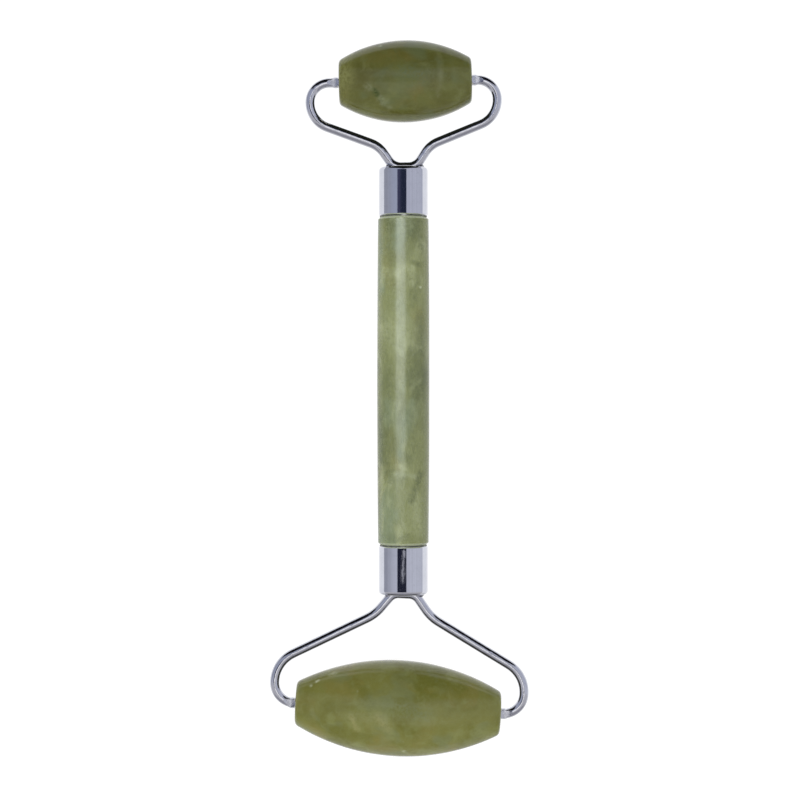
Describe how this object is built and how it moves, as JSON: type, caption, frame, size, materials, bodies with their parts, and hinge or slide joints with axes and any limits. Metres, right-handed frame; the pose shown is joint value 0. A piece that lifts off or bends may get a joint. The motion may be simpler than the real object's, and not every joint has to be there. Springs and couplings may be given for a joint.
{
  "type": "face roller",
  "caption": "Face massage roller: a ground stone handle with plated ferrules and bent wire frames, which hold a short and a long barrel-shaped stone roller, each free to spin.",
  "frame": {"origin": "centre of the handle, on its axis", "axes": "+Y along the handle towards the small roller; +X to the right, across the wire frames; +Z out of the plane that both wire frames lie in"},
  "size_m": [0.0522, 0.1446, 0.0194],
  "materials": {
    "handle_jade": "polished",
    "small_roller_jade": "polished",
    "large_roller_jade": "polished",
    "ferrule_chrome": "polished",
    "wire_chrome": "polished",
    "solder": "satin",
    "stud_steel": "satin",
    "adhesive": "satin",
    "bush_nylon": "satin"
  },
  "bodies": {
    "handle": {"handle_bar": "handle_jade", "upper_stud": "stud_steel", "upper_adhesive": "adhesive", "upper_ferrule": "ferrule_chrome", "upper_frame": "wire_chrome", "upper_left_solder": "solder", "upper_right_solder": "solder", "lower_stud": "stud_steel", "lower_adhesive": "adhesive", "lower_ferrule": "ferrule_chrome", "lower_frame": "wire_chrome", "lower_left_solder": "solder", "lower_right_solder": "solder"},
    "small_roller": {"small_roller_stone": "small_roller_jade", "small_roller_left_bush": "bush_nylon", "small_roller_right_bush": "bush_nylon"},
    "large_roller": {"large_roller_stone": "large_roller_jade", "large_roller_left_bush": "bush_nylon", "large_roller_right_bush": "bush_nylon"}
  },
  "joints": [
    {"name": "small_roller_spin", "type": "hinge", "parent": "handle", "child": "small_roller", "pos_m": [0.00039, 0.0605, 0], "axis": [0.9998, 0.0195, 0], "continuous": true},
    {"name": "large_roller_spin", "type": "hinge", "parent": "handle", "child": "large_roller", "pos_m": [-0.00107, -0.06612, 0], "axis": [0.9987, -0.0515, 0], "continuous": true}
  ]
}
